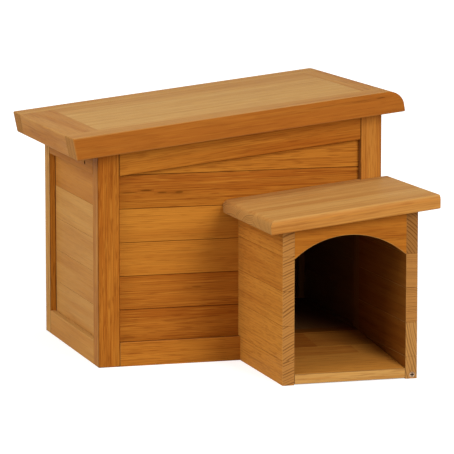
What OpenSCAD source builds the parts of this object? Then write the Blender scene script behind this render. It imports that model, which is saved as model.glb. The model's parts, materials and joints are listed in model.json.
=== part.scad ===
// Wooden hedgehog house with a hinged sloping lid and an arched entrance porch.
// Millimetres, +Z up, +X to the right of the entrance front, front facing -Y.

/* [House] */

// Width of the house over its corner posts
body_w = 400; // [360:1:480]
// Depth of the house over its corner posts
body_d = 302; // [260:1:380]
// Height of the wall tops at the left face
eave_h = 288; // [260:1:340]
// Fall of the lid and of the porch roof towards the left, in degrees
roof_angle = 6.4; // [4:0.1:9]

/* [Frame] */

// Width of a corner post along the front
post_w = 30; // [28:0.5:36]
// Depth of a corner post along the side
post_d = 28; // [27:0.5:36]
// Height of the bottom rails and top rails
rail_h = 33; // [29:0.5:40]
// Depth of the grooves in the posts and rails
groove_depth = 8; // [5:0.5:9]
// Diameter of the small hole in the left top rail
peg_hole_d = 5.6; // [2:0.1:6]
// Depth of the small hole in the left top rail
peg_hole_depth = 8; // [6:1:18]
// Distance of the small hole from the front of the house
peg_hole_y = 70; // [45:1:120]
// Height of the small hole above the rail's lower edge
peg_hole_rise = 11.5; // [10.5:0.5:22]

/* [Wall boards] */

// Thickness of the wall boards
board_t = 10; // [7:0.5:12]
// Depth of the wall boards behind the outer faces of the frame
board_recess = 9; // [5:0.5:12]
// Visible height of the lowest wall board
lowest_cover = 43; // [38:0.5:52]
// Thickness of the tongues on the wall boards
tongue_t = 3.4; // [2.4:0.1:4.4]
// Height of the tongues on the wall boards
tongue_h = 5; // [3:0.5:6]

/* [Floor] */

// Thickness of the floor boards
floor_t = 12; // [9:0.5:15]
// Gap between two floor boards
floor_gap = 0.8; // [0.4:0.1:0.9]
// Width of the bearers under the floor and under the ramp
bearer_w = 20; // [14:1:28]
// Height of the bearers above the ground
bearer_lift = 1; // [0.5:0.5:3]
// Width of the batten at the doorway's cut board ends
jamb_w = 20; // [14:1:30]
// Depth of the batten at the doorway's cut board ends
jamb_d = 20; // [14:1:30]
// Height of the batten above the doorway's head
jamb_lap = 30; // [15:1:42]

/* [Lid] */

// Thickness of the lid's frame
lid_t = 30; // [26:0.5:36]
// Overhang of the lid's underside past the left face, along the fall
lid_over_left = 34.4; // [24:0.2:44]
// Overhang of the lid's underside past the right face, along the fall
lid_over_right = 25.6; // [16:0.2:36]
// Overhang of the lid past the front
lid_over_front = 25.6; // [16:0.2:34]
// Overhang of the lid past the rear
lid_over_rear = 23.4; // [21:0.2:30]
// Width of the lid's rails and cleats
lid_frame_w = 44; // [40:0.5:52]
// Thickness of the lid's boards, which lie flush on top
lid_board_t = 20; // [15:0.5:23]
// How far the lid's ends lean out of square over the thickness
lid_lean = 2.8; // [0.4:0.2:5]
// Radius of the rounding along the lid's right end
lid_nose_r = 21.5; // [8:0.5:23]
// Thickness of the tongues in the lid
lid_tongue_t = 6; // [4:0.2:8]
// Depth of the grooves in the lid
lid_groove = 8; // [5:0.5:11]
// Distance of the cleats' stub tenons from the lid's ends
lid_tenon_edge = 17; // [14:0.5:21]

/* [Hinges] */

// Distance of each hinge's middle from the side face, along the fall
hinge_edge = 90; // [70:1:130]
// Length of a hinge
hinge_len = 50; // [40:1:66]
// Thickness of a hinge leaf
leaf_t = 1.5; // [1.1:0.1:1.8]
// Width of a hinge leaf from the pin's axis
leaf_w = 16; // [14:0.5:17]
// Outer diameter of the hinge knuckles
knuckle_d = 6; // [5:0.2:6.6]
// Diameter of the hinge pins
pin_d = 3; // [2.4:0.1:3.4]
// Diameter of the hinge pins' heads
pin_head_d = 4.6; // [4:0.1:4.9]
// Thickness of the hinge pins' heads
pin_head_h = 0.8; // [0.5:0.1:1.5]
// Shank diameter of the hinge screws
leaf_screw_d = 3; // [2.4:0.1:3.4]
// Head diameter of the hinge screws
leaf_screw_head_d = 5.6; // [4.8:0.1:6.4]
// Length of the hinge screws
leaf_screw_len = 14; // [10:1:18]

/* [Porch] */

// Width of the porch over its walls
porch_w = 186; // [170:1:204]
// Length of the porch in front of the house
porch_len = 189.5; // [150:0.5:220]
// Step from the house's right face in to the porch's right wall
porch_reveal = 15.5; // [10:0.5:19]
// Thickness of the porch walls
porch_wall_t = 16; // [13:0.5:19]
// Height of the porch walls at the outer left face
porch_eave_h = 204; // [196:1:220]
// Height of the top board of the left porch wall
porch_top_cover = 34; // [30:0.5:42]
// How much lower the joints of the right porch wall lie
porch_right_drop = 3; // [0:0.5:5]
// Thickness of the porch roof
porch_roof_t = 18; // [14:0.5:22]
// Overhang of the porch roof past the front
porch_over_front = 18.4; // [8:0.2:26]
// Overhang of the porch roof past the left wall, along the fall
porch_over_left = 21; // [12:0.5:30]
// Overhang of the porch roof past the right wall, along the fall
porch_over_right = 24.5; // [16:0.5:32]
// Radius of the rounding along the porch roof's left end
porch_end_r = 9; // [3:0.5:11]
// Radius of the rounding along the porch roof's front edge
porch_front_r = 6.5; // [2:0.5:8]

/* [Arch and ramp] */

// Thickness of the arched lintel
lintel_t = 16; // [12:0.5:22]
// Height at which the arch springs
arch_spring_h = 167; // [156:1:174]
// Rise of the arch
arch_rise = 28.5; // [18:0.5:32]
// Flat at each foot of the arch
arch_flat = 1; // [0.5:0.1:4]
// Thickness of the lintel's stub tongues
lintel_tongue_t = 8; // [5:0.5:10]
// Length of the lintel's stub tongues
lintel_tongue_len = 5; // [3:0.5:8]
// Distance of the lintel's stub tongues from the joints above and below
lintel_tongue_edge = 5; // [3:0.5:9]
// Thickness of the ramp, measured upright
ramp_t = 13.5; // [10:0.5:16]
// Height of the ramp's front edge above the ground
ramp_lift = 1; // [0.5:0.1:4]

/* [Porch screws] */

// Shank diameter of the porch screws
screw_d = 4; // [3:0.1:5]
// Head diameter of the porch screws
screw_head_d = 8; // [6.6:0.1:8.8]
// Length of the screws that hold the porch walls from inside
screw_len = 60; // [50:1:76]
// Distance of those screws from the inner faces of the porch walls
screw_edge = 6; // [5:0.5:8]
// Length of the screw in the right wall's front end
end_screw_len = 40; // [25:1:60]
// Distance of that screw from the right wall's outer face
end_screw_edge = 6.5; // [5:0.5:8]
// Height of that screw above the ground
end_screw_h = 5.2; // [5:0.1:16]
// Depth of that screw's head below the end grain
end_screw_sink = 0.6; // [0.2:0.1:2]

/* [Fits] */

// Gap on each side of a board or tongue
fit_gap = 0.1; // [0.05:0.05:0.25]
// Gap at the end of a board or tongue in its groove
end_gap = 0.5; // [0.2:0.1:0.8]
// Gap between the closed lid and the wall tops
seat_gap = 0.2; // [0.1:0.1:0.5]
// Running gap around the hinge pins
pin_gap = 0.05; // [0.02:0.01:0.08]
// Gap between hinge knuckles and around them
knuckle_gap = 0.3; // [0.2:0.1:0.6]
// Gap around the screws
screw_gap = 0.1; // [0.05:0.05:0.2]

/* [Hidden] */

$fn = 48;
// Over-length that keeps a cutter's end clear of the face it opens
cut = 1;

roof_slope = tan(roof_angle);
post_x2 = body_w - post_w;
post_y2 = body_d - post_d;
tenon = groove_depth - end_gap;
groove_w = board_t + 2 * fit_gap;
left_rail_z = eave_h + post_w * roof_slope - rail_h;
right_rail_z = eave_h + body_w * roof_slope - rail_h;
low_boards = 5;
high_boards = low_boards + 1;
door_boards = 3;
course = (left_rail_z - rail_h - lowest_cover) / (low_boards - 1);
board_foot = rail_h - groove_depth + end_gap;
door_top = rail_h + lowest_cover + (door_boards - 1) * course;

porch_x1 = body_w - porch_reveal;
porch_x0 = porch_x1 - porch_w;
mouth_x0 = porch_x0 + porch_wall_t;
mouth_x1 = porch_x1 - porch_wall_t;
mouth_mid = (mouth_x0 + mouth_x1) / 2;
porch_boards = 5;
porch_course = (porch_eave_h - rail_h - porch_top_cover) / (porch_boards - 2);
screw_rows = [rail_h + porch_course / 2, rail_h + porch_course * 5 / 2];
arch_half = (mouth_x1 - mouth_x0) / 2 - arch_flat;
arch_r = (arch_half * arch_half + arch_rise * arch_rise) / (2 * arch_rise);
top_joint = rail_h + (porch_boards - 2) * porch_course;
lintel_tongue_z0 = max(arch_spring_h, top_joint) + lintel_tongue_edge;
lintel_tongue_z1 = porch_eave_h - lintel_tongue_edge;
lintel_tongue_y = -porch_len + (lintel_t - lintel_tongue_t) / 2;

lid_u1 = body_w / cos(roof_angle) + lid_over_right;
lid_in_u0 = lid_frame_w - lid_over_left;
lid_in_u1 = lid_u1 - lid_frame_w;
lid_y0 = -lid_over_front;
lid_y1 = body_d + lid_over_rear;
lid_in_y0 = lid_y0 + lid_frame_w;
lid_in_y1 = lid_y1 - lid_frame_w;
lid_boards = 4;
lid_board_w = (lid_in_y1 - lid_in_y0) / lid_boards;
lid_board_v = lid_t - lid_board_t;
lid_tongue_v0 = lid_t - (lid_board_t + lid_tongue_t) / 2;
lid_tenon_u0 = lid_tenon_edge - lid_over_left;
lid_tenon_u1 = lid_u1 - lid_tenon_edge;
lid_side = sqrt(lid_t * lid_t + lid_lean * lid_lean);
nose_v = lid_t - lid_nose_r;
nose_u = lid_u1 - (lid_nose_r * lid_side + nose_v * lid_lean) / lid_t;

knuckle_r = knuckle_d / 2;
leaf_off = knuckle_r + knuckle_gap;
leaf_row = (leaf_off + leaf_w) / 2;
leaf_screws = 3;
hinge_us = [hinge_edge, body_w / cos(roof_angle) - hinge_edge];
hinge_third = hinge_len / 3;

// Places of the finished part's middle, so that it stands on its origin
lid_top_x = -(lid_over_left + lid_lean) * cos(roof_angle) - (seat_gap + lid_t) * sin(roof_angle);
lid_end_x = lid_u1 * cos(roof_angle) - seat_gap * sin(roof_angle);
centre_x = (lid_top_x + lid_end_x) / 2;
centre_y = (lid_y1 - porch_len - porch_over_front) / 2;

oiled = [0.72, 0.46, 0.19];
pale = [0.80, 0.62, 0.38];
steel = [0.62, 0.62, 0.64];

// Height of the plane that lies v above the wall tops, at a place across the house
function roof_z(x, v) = eave_h + x * roof_slope + v / cos(roof_angle);

// Height of the porch roof's underside
function porch_z(x) = porch_eave_h + (x - porch_x0) * roof_slope;

// Height of the ramp's underside
function ramp_z(y) = rail_h - ramp_t + y * (rail_h - ramp_t - ramp_lift) / porch_len;

// Height of the joint on top of a wall board, and on top of a porch board
function joint_z(i) = rail_h + lowest_cover + (i - 1) * course;
function porch_joint_z(i) = rail_h + (i - 1) * porch_course;

// Lower and upper edge of a wall board, without its tongue
function foot_z(i) = i == 1 ? board_foot : joint_z(i - 1) + fit_gap;
function head_z(i, count, rail_z) = i == count ? rail_z + tenon : joint_z(i) - fit_gap;

// Section of a wall board: across the board from s, up from z0 to z1
function board_outline(s, z0, z1, grooved, tongued) = concat(
    [[s, z0]],
    grooved ? tongue_points(s + board_t / 2, tongue_t / 2 + fit_gap, z0, tongue_h + end_gap) : [],
    [[s + board_t, z0], [s + board_t, z1]],
    tongued ? tongue_points(s + board_t / 2, -tongue_t / 2, z1, tongue_h + fit_gap) : [],
    [[s, z1]]
);
function tongue_points(s, half, z, h) = [[s - half, z], [s - half, z + h], [s + half, z + h], [s + half, z]];

// Four-sided section between two places, with a level foot and a sloping head
function sloped_outline(x0, x1, z0, v) = [[x0, z0], [x1, z0], [x1, roof_z(x1, v)], [x0, roof_z(x0, v)]];
function sloped_bar(x0, x1, v0, v1) =
    [[x0, roof_z(x0, v0)], [x1, roof_z(x1, v0)], [x1, roof_z(x1, v1)], [x0, roof_z(x0, v1)]];

module placed() {
    translate([-centre_x, -centre_y, 0]) children();
}

// Frame of the lid: x along the fall, z square to it, zero on the wall tops
module sloped() {
    translate([0, 0, eave_h]) rotate([0, -roof_angle, 0]) children();
}

// Prism with its section in the front view
module across(y0, y1) {
    translate([0, y1, 0]) rotate([90, 0, 0]) linear_extrude(height = y1 - y0) children();
}

// Prism with its section in the side view
module along(x0, x1) {
    translate([x0, 0, 0]) rotate([90, 0, 90]) linear_extrude(height = x1 - x0) children();
}

// The rear and right pieces are the front and left ones turned over
module to_rear() {
    translate([0, body_d, 0]) mirror([0, 1, 0]) children();
}

module to_right() {
    translate([body_w, 0, 0]) mirror([1, 0, 0]) children();
}

// Countersunk screw, its head's face on z = 0 and its shank pointing down
module screw(d, head_d, length) {
    neck = (head_d - d) / 2;
    slot_w = head_d / 7;
    difference() {
        union() {
            translate([0, 0, -neck]) cylinder(d1 = d, d2 = head_d, h = neck);
            translate([0, 0, -length]) cylinder(d = d, h = length - neck / 2);
        }
        for (turn = [0, 90])
            rotate([0, 0, turn])
                translate([-head_d * 0.32, -slot_w / 2, -neck / 2]) cube([head_d * 0.64, slot_w, neck]);
    }
}

module screw_hole(d, head_d, length) {
    neck = (head_d - d) / 2;
    translate([0, 0, -neck]) cylinder(d1 = d + 2 * screw_gap, d2 = head_d + 2 * screw_gap, h = neck);
    translate([0, 0, -length - screw_gap]) cylinder(d = d + 2 * screw_gap, h = length);
    translate([0, 0, -screw_gap / 2]) cylinder(d = head_d + 2 * screw_gap, h = cut + screw_gap / 2);
}

// Front of a corner post with its two grooves; the wall groove runs only where listed
module post_stock(x0, runs) {
    difference() {
        across(0, post_d) polygon(sloped_outline(x0, x0 + post_w, 0, 0));
        for (run = runs)
            translate([x0 == 0 ? post_w - groove_depth : post_x2 - cut, board_recess - fit_gap, run[0]])
                cube([groove_depth + cut, groove_w, run[1] - run[0]]);
        translate([
            x0 == 0 ? board_recess - fit_gap : body_w - board_recess - board_t - fit_gap,
            post_d - groove_depth,
            -cut
        ])
            cube([groove_w, groove_depth + cut, roof_z(body_w, 0) + 2 * cut]);
    }
}

full_run = [[-cut, roof_z(body_w, 0) + cut]];
door_run = [[-cut, rail_h - groove_depth + fit_gap], [door_top, roof_z(body_w, 0) + cut]];

module front_left_post() {
    color(oiled) placed() post_stock(0, full_run);
}

module front_right_post() {
    color(oiled) placed() difference() {
        post_stock(post_x2, door_run);
        right_porch_screws() screw_hole(screw_d, screw_head_d, screw_len);
    }
}

module rear_left_post() {
    color(oiled) placed() to_rear() post_stock(0, full_run);
}

module rear_right_post() {
    color(oiled) placed() to_rear() post_stock(post_x2, full_run);
}

// Bottom rail along the front, grooved on top up to x1
module long_rail(x1) {
    difference() {
        union() {
            translate([post_w, 0, 0]) cube([post_x2 - post_w, post_d, rail_h]);
            translate([post_w - tenon, board_recess, 0])
                cube([post_x2 - post_w + 2 * tenon, board_t, rail_h - groove_depth]);
        }
        translate([post_w - cut, board_recess - fit_gap, rail_h - groove_depth])
            cube([x1 - post_w + cut, groove_w, groove_depth + cut]);
    }
}

module front_bottom_rail() {
    color(oiled) placed() long_rail(mouth_x0 + fit_gap);
}

module rear_bottom_rail() {
    color(oiled) placed() to_rear() long_rail(post_x2 + cut);
}

// Bottom rail along the left side
module side_bottom_rail() {
    difference() {
        union() {
            translate([0, post_d, 0]) cube([post_w, post_y2 - post_d, rail_h]);
            translate([board_recess, post_d - tenon, 0])
                cube([board_t, post_y2 - post_d + 2 * tenon, rail_h - groove_depth]);
        }
        translate([board_recess - fit_gap, post_d - cut, rail_h - groove_depth])
            cube([groove_w, post_y2 - post_d + 2 * cut, groove_depth + cut]);
    }
}

module left_bottom_rail() {
    color(oiled) placed() side_bottom_rail();
}

module right_bottom_rail() {
    color(oiled) placed() to_right() side_bottom_rail();
}

// Top rail along the front, parallel to the lid and grooved underneath
module sloping_rail() {
    difference() {
        across(0, post_d) polygon(sloped_bar(post_w, post_x2, -rail_h, 0));
        across(board_recess - fit_gap, board_recess + board_t + fit_gap)
            polygon(sloped_bar(post_w - cut, post_x2 + cut, -rail_h - cut, groove_depth - rail_h));
    }
    across(board_recess, board_recess + board_t)
        polygon(sloped_bar(post_w - tenon, post_x2 + tenon, groove_depth - rail_h, 0));
}

module front_top_rail() {
    color(oiled) placed() sloping_rail();
}

module rear_top_rail() {
    color(oiled) placed() difference() {
        to_rear() sloping_rail();
        wall_leaf_screws() screw_hole(leaf_screw_d, leaf_screw_head_d, leaf_screw_len);
    }
}

// Level top rail of a side, its head cut to the lid's fall
module level_rail(x0, panel_x, rail_z) {
    difference() {
        across(post_d, post_y2) polygon(sloped_outline(x0, x0 + post_w, rail_z, 0));
        translate([panel_x - fit_gap, post_d - cut, rail_z - cut])
            cube([groove_w, post_y2 - post_d + 2 * cut, groove_depth + cut]);
    }
    across(post_d - tenon, post_y2 + tenon)
        polygon(sloped_outline(panel_x, panel_x + board_t, rail_z + groove_depth, 0));
}

module left_top_rail() {
    color(oiled) placed() difference() {
        level_rail(0, board_recess, left_rail_z);
        translate([-cut, peg_hole_y, left_rail_z + peg_hole_rise])
            rotate([0, 90, 0]) cylinder(d = peg_hole_d, h = peg_hole_depth + cut);
    }
}

module right_top_rail() {
    color(oiled) placed() level_rail(post_x2, body_w - board_recess - board_t, right_rail_z);
}

// Board of the front or rear wall; the top one is a wedge under the sloping rail
module long_board(i, x1) {
    x0 = post_w - tenon;
    if (i < high_boards)
        along(x0, x1) polygon(board_outline(board_recess, foot_z(i), joint_z(i) - fit_gap, i > 1, true));
    else
        difference() {
            across(board_recess, board_recess + board_t)
                polygon(sloped_outline(x0, x1, foot_z(i), tenon - rail_h));
            translate([x0 - cut, board_recess + (board_t - tongue_t) / 2 - fit_gap, foot_z(i) - cut])
                cube([x1 - x0 + 2 * cut, tongue_t + 2 * fit_gap, tongue_h + end_gap + cut]);
        }
}

module front_board(i) {
    color(oiled) placed() difference() {
        long_board(i, i <= door_boards ? mouth_x0 : post_x2 + tenon);
        left_porch_screws() screw_hole(screw_d, screw_head_d, screw_len);
    }
}

module rear_board(i) {
    color(oiled) placed() to_rear() long_board(i, post_x2 + tenon);
}

// Board of a side wall
module side_board(i, count, rail_z) {
    across(post_d - tenon, post_y2 + tenon)
        polygon(board_outline(board_recess, foot_z(i), head_z(i, count, rail_z), i > 1, i < count));
}

module left_board(i) {
    color(oiled) placed() side_board(i, low_boards, left_rail_z);
}

module right_board(i) {
    color(oiled) placed() to_right() side_board(i, high_boards, right_rail_z);
}

module floor_boards() {
    count = 4;
    room = post_x2 - post_w - 2 * fit_gap;
    pitch = (room + floor_gap) / count;
    color(pale) placed()
        for (i = [0 : count - 1])
            translate([post_w + fit_gap + i * pitch, post_d + fit_gap, rail_h - floor_t])
                cube([pitch - floor_gap, post_y2 - post_d - 2 * fit_gap, floor_t]);
}

module floor_bearer() {
    translate([post_w + fit_gap, post_d, bearer_lift])
        cube([post_x2 - post_w - 2 * fit_gap, bearer_w, rail_h - floor_t - bearer_lift]);
}

module floor_bearers() {
    color(pale) placed() {
        floor_bearer();
        to_rear() floor_bearer();
    }
}

module door_jamb() {
    color(pale) placed() difference() {
        translate([mouth_x0 - jamb_w, board_recess + board_t, rail_h])
            cube([jamb_w, jamb_d, door_top + jamb_lap - rail_h]);
        left_porch_screws() screw_hole(screw_d, screw_head_d, screw_len);
    }
}

// Side view of the lid along the fall, its right end rounded over
module lid_profile() {
    difference() {
        polygon([
            [-lid_over_left, 0],
            [lid_u1, 0],
            [lid_u1 - lid_lean, lid_t],
            [-lid_over_left - lid_lean, lid_t]
        ]);
        translate([nose_u, nose_v]) difference() {
            polygon(2 * lid_nose_r * [[0, 0], [lid_t / lid_side, lid_lean / lid_side], [1, 1], [0, 1]]);
            circle(r = lid_nose_r);
        }
    }
}

module lid_rail(y0) {
    across(y0, y0 + lid_frame_w) lid_profile();
}

// Room in the lid for tongues, from the tenons of one cleat to those of the other
module lid_slot(y0) {
    translate([lid_tenon_u0, y0, lid_tongue_v0])
        cube([lid_tenon_u1 - lid_tenon_u0, lid_groove + cut, lid_tongue_t]);
}

module on_walls() {
    placed() sloped() translate([0, 0, seat_gap]) children();
}

module lid_front_rail() {
    color(pale) on_walls() difference() {
        lid_rail(lid_y0);
        lid_slot(lid_in_y0 - lid_groove);
    }
}

module lid_rear_rail() {
    color(pale) difference() {
        on_walls() difference() {
            lid_rail(lid_in_y1);
            lid_slot(lid_in_y1 - cut);
        }
        placed() lid_leaf_screws() screw_hole(leaf_screw_d, leaf_screw_head_d, leaf_screw_len);
    }
}

// End piece of the lid between two places along the fall, with a stub tenon at each end
module lid_cleat(u0, u1, slot_u, tenon_u0, tenon_u1) {
    difference() {
        across(lid_in_y0 + fit_gap, lid_in_y1 - fit_gap) intersection() {
            lid_profile();
            translate([u0, -cut]) square([u1 - u0, lid_t + 2 * cut]);
        }
        translate([slot_u, lid_in_y0, lid_tongue_v0])
            cube([lid_groove + cut, lid_in_y1 - lid_in_y0, lid_tongue_t]);
    }
    translate([tenon_u0, lid_in_y0 - lid_groove + end_gap, lid_tongue_v0 + fit_gap])
        cube([
            tenon_u1 - tenon_u0,
            lid_in_y1 - lid_in_y0 + 2 * (lid_groove - end_gap),
            lid_tongue_t - 2 * fit_gap
        ]);
}

module lid_left_cleat() {
    u0 = -lid_over_left - lid_lean - cut;
    color(pale) on_walls()
        lid_cleat(u0, lid_in_u0, lid_in_u0 - lid_groove, lid_tenon_u0 + fit_gap, lid_in_u0 - lid_groove);
}

module lid_right_cleat() {
    u1 = lid_u1 + cut;
    color(pale) on_walls()
        lid_cleat(lid_in_u1, u1, lid_in_u1 - cut, lid_in_u1 + lid_groove, lid_tenon_u1 - fit_gap);
}

// Middle board of the lid: tongues at both ends and in front, the next board's groove behind
module lid_board(i) {
    y0 = lid_in_y0 + (i - 1) * lid_board_w + fit_gap;
    width = lid_board_w - 2 * fit_gap;
    reach = lid_groove - end_gap;
    length = lid_in_u1 - lid_in_u0 - 2 * fit_gap;
    tongue_v = lid_tongue_v0 + fit_gap;
    last = i == lid_boards;
    color(pale) on_walls() translate([lid_in_u0 + fit_gap, y0, 0]) difference() {
        union() {
            translate([0, 0, lid_board_v]) cube([length, width, lid_board_t]);
            translate([-reach, 0, tongue_v])
                cube([length + 2 * reach, width, lid_tongue_t - 2 * fit_gap]);
            translate([0, -reach, tongue_v])
                cube([length, width + reach + (last ? reach : 0), lid_tongue_t - 2 * fit_gap]);
        }
        if (!last)
            translate([-reach - cut, width - lid_groove, lid_tongue_v0])
                cube([length + 2 * (reach + cut), lid_groove + cut, lid_tongue_t]);
    }
}

// Frame of each hinge: x along its pin, y away from the wall, z up to the lid
module hinges() {
    sloped()
        for (u = hinge_us)
            translate([u - hinge_len / 2, body_d + leaf_off, seat_gap - leaf_off]) children();
}

module knuckle(x0, x1) {
    translate([x0, 0, 0]) rotate([0, 90, 0]) cylinder(d = knuckle_d, h = x1 - x0);
}

module pin_bore() {
    translate([-cut, 0, 0]) rotate([0, 90, 0]) cylinder(d = pin_d + 2 * pin_gap, h = hinge_len + 2 * cut);
}

module wall_leaf() {
    gap = knuckle_gap / 2;
    difference() {
        union() {
            knuckle(0, hinge_third - gap);
            knuckle(2 * hinge_third + gap, hinge_len);
            translate([0, -leaf_off, -leaf_w]) cube([hinge_len, leaf_t, leaf_w - leaf_off]);
            translate([0, -leaf_off, -leaf_w]) cube([hinge_third - gap, leaf_t, leaf_w]);
            translate([2 * hinge_third + gap, -leaf_off, -leaf_w]) cube([hinge_third - gap, leaf_t, leaf_w]);
        }
        pin_bore();
    }
}

module lid_leaf() {
    gap = knuckle_gap / 2;
    difference() {
        union() {
            knuckle(hinge_third + gap, 2 * hinge_third - gap);
            translate([0, leaf_off, leaf_off - leaf_t]) cube([hinge_len, leaf_w - leaf_off, leaf_t]);
            translate([hinge_third + gap, 0, leaf_off - leaf_t])
                cube([hinge_third - 2 * gap, leaf_w, leaf_t]);
        }
        pin_bore();
    }
}

// Places of the screws along each hinge
module leaf_screw_row() {
    for (i = [0 : leaf_screws - 1])
        translate([(i + 0.5) * hinge_len / leaf_screws, 0, 0]) children();
}

module wall_leaf_screws() {
    hinges() leaf_screw_row() translate([0, leaf_t - leaf_off, -leaf_row]) rotate([-90, 0, 0]) children();
}

module lid_leaf_screws() {
    hinges() leaf_screw_row() translate([0, leaf_row, leaf_off - leaf_t]) rotate([180, 0, 0]) children();
}

module hinge_wall_leaves() {
    color(steel) placed() difference() {
        hinges() wall_leaf();
        wall_leaf_screws() screw_hole(leaf_screw_d, leaf_screw_head_d, leaf_screw_len);
    }
}

module hinge_lid_leaves() {
    color(steel) placed() difference() {
        hinges() lid_leaf();
        lid_leaf_screws() screw_hole(leaf_screw_d, leaf_screw_head_d, leaf_screw_len);
    }
}

module hinge_pins() {
    color(steel) placed() hinges() rotate([0, 90, 0]) {
        translate([0, 0, -pin_head_h]) cylinder(d = pin_d, h = hinge_len + 2 * pin_head_h);
        translate([0, 0, -pin_head_h - pin_gap]) cylinder(d = pin_head_d, h = pin_head_h);
        translate([0, 0, hinge_len + pin_gap]) cylinder(d = pin_head_d, h = pin_head_h);
    }
}

module hinge_wall_screws() {
    color(steel) placed() wall_leaf_screws() screw(leaf_screw_d, leaf_screw_head_d, leaf_screw_len);
}

module hinge_lid_screws() {
    color(steel) placed() lid_leaf_screws() screw(leaf_screw_d, leaf_screw_head_d, leaf_screw_len);
}

// Porch wall between two places, glued up from boards that run front to back
module porch_wall(x0, back, drop) {
    x1 = x0 + porch_wall_t;
    difference() {
        for (i = [1 : porch_boards]) {
            z0 = i == 1 ? 0 : porch_joint_z(i - 1) - drop + fit_gap;
            head = porch_joint_z(i) - drop - fit_gap;
            top = i == porch_boards;
            across(-porch_len, i == 1 ? 0 : back)
                polygon([[x0, z0], [x1, z0], [x1, top ? porch_z(x1) : head], [x0, top ? porch_z(x0) : head]]);
        }
        lintel_tongue(end_gap, fit_gap);
    }
}

module porch_left_wall() {
    color(oiled) placed() difference() {
        porch_wall(porch_x0, board_recess, 0);
        left_porch_screws() screw_hole(screw_d, screw_head_d, screw_len);
    }
}

module porch_right_wall() {
    color(oiled) placed() difference() {
        porch_wall(mouth_x1, 0, porch_right_drop);
        right_porch_screws() screw_hole(screw_d, screw_head_d, screw_len);
        end_screw() screw_hole(screw_d, screw_head_d, end_screw_len);
    }
}

// Stub tongues of the lintel, with room around them when they are cut into the walls
module lintel_tongue(end_room, side_room) {
    reach = lintel_tongue_len + end_room;
    translate([mouth_x0 - reach, lintel_tongue_y - side_room, lintel_tongue_z0 - side_room])
        cube([
            mouth_x1 - mouth_x0 + 2 * reach,
            lintel_tongue_t + 2 * side_room,
            lintel_tongue_z1 - lintel_tongue_z0 + 2 * side_room
        ]);
}

module arch_opening() {
    across(-porch_len - cut, -porch_len + lintel_t + cut)
        translate([mouth_mid, arch_spring_h + arch_rise - arch_r]) circle(r = arch_r, $fn = 144);
}

module porch_lintel() {
    x0 = mouth_x0 + fit_gap;
    x1 = mouth_x1 - fit_gap;
    color(oiled) placed() difference() {
        union() {
            across(-porch_len, -porch_len + lintel_t)
                polygon([[x0, arch_spring_h], [x1, arch_spring_h], [x1, porch_z(x1)], [x0, porch_z(x0)]]);
            lintel_tongue(0, 0);
        }
        arch_opening();
    }
}

module porch_ramp() {
    color(oiled) placed() along(mouth_x0 + fit_gap, mouth_x1 - fit_gap) polygon([
        [-porch_len, ramp_z(-porch_len)],
        [-fit_gap, ramp_z(-fit_gap)],
        [-fit_gap, ramp_z(-fit_gap) + ramp_t],
        [-porch_len, ramp_z(-porch_len) + ramp_t]
    ]);
}

module ramp_bearer() {
    color(pale) placed() along(mouth_x0 + fit_gap, mouth_x1 - fit_gap) polygon([
        [-bearer_w, bearer_lift],
        [0, bearer_lift],
        [0, ramp_z(0) - fit_gap],
        [-bearer_w, ramp_z(-bearer_w) - fit_gap]
    ]);
}

// Side view of the porch roof along the fall: left end rounded over, right end plumb
module porch_roof_profile() {
    u1 = porch_w / cos(roof_angle) + porch_over_right;
    difference() {
        polygon([
            [-porch_over_left, 0],
            [u1, 0],
            [u1 + porch_roof_t * roof_slope, porch_roof_t],
            [-porch_over_left, porch_roof_t]
        ]);
        translate([porch_end_r - porch_over_left, porch_roof_t - porch_end_r]) difference() {
            translate([-porch_end_r - cut, 0]) square(porch_end_r + cut);
            circle(r = porch_end_r);
        }
    }
}

module porch_roof() {
    front = -porch_len - porch_over_front;
    length = porch_w + 2 * (porch_over_left + porch_over_right);
    color(pale) placed() difference() {
        across(front, board_recess)
            translate([porch_x0, porch_eave_h]) rotate(roof_angle) porch_roof_profile();
        translate([porch_x0, front + porch_front_r, porch_eave_h])
            rotate([0, -roof_angle, 0])
                translate([-porch_over_left - porch_over_right, 0, porch_roof_t - porch_front_r])
                    rotate([90, 0, 90]) linear_extrude(height = length) difference() {
                        translate([-porch_front_r - cut, 0]) square(porch_front_r + cut);
                        circle(r = porch_front_r);
                    }
        translate([post_x2 - fit_gap, 0, porch_eave_h])
            cube([post_w + porch_over_right, board_recess + cut, porch_eave_h]);
    }
}

// Places of the porch screws, heads towards the inside of the house
module left_porch_screws() {
    for (z = screw_rows)
        translate([mouth_x0 - screw_edge, board_recess + board_t + jamb_d, z]) rotate([-90, 0, 0]) children();
}

module right_porch_screws() {
    for (z = screw_rows)
        translate([mouth_x1 + screw_edge, post_d, z]) rotate([-90, 0, 0]) children();
}

module end_screw() {
    translate([porch_x1 - end_screw_edge, end_screw_sink - porch_len, end_screw_h]) rotate([90, 0, 0]) children();
}

module porch_screws() {
    color(steel) placed() {
        left_porch_screws() screw(screw_d, screw_head_d, screw_len);
        right_porch_screws() screw(screw_d, screw_head_d, screw_len);
    }
}

module porch_end_screw() {
    color(steel) placed() end_screw() screw(screw_d, screw_head_d, end_screw_len);
}

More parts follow.
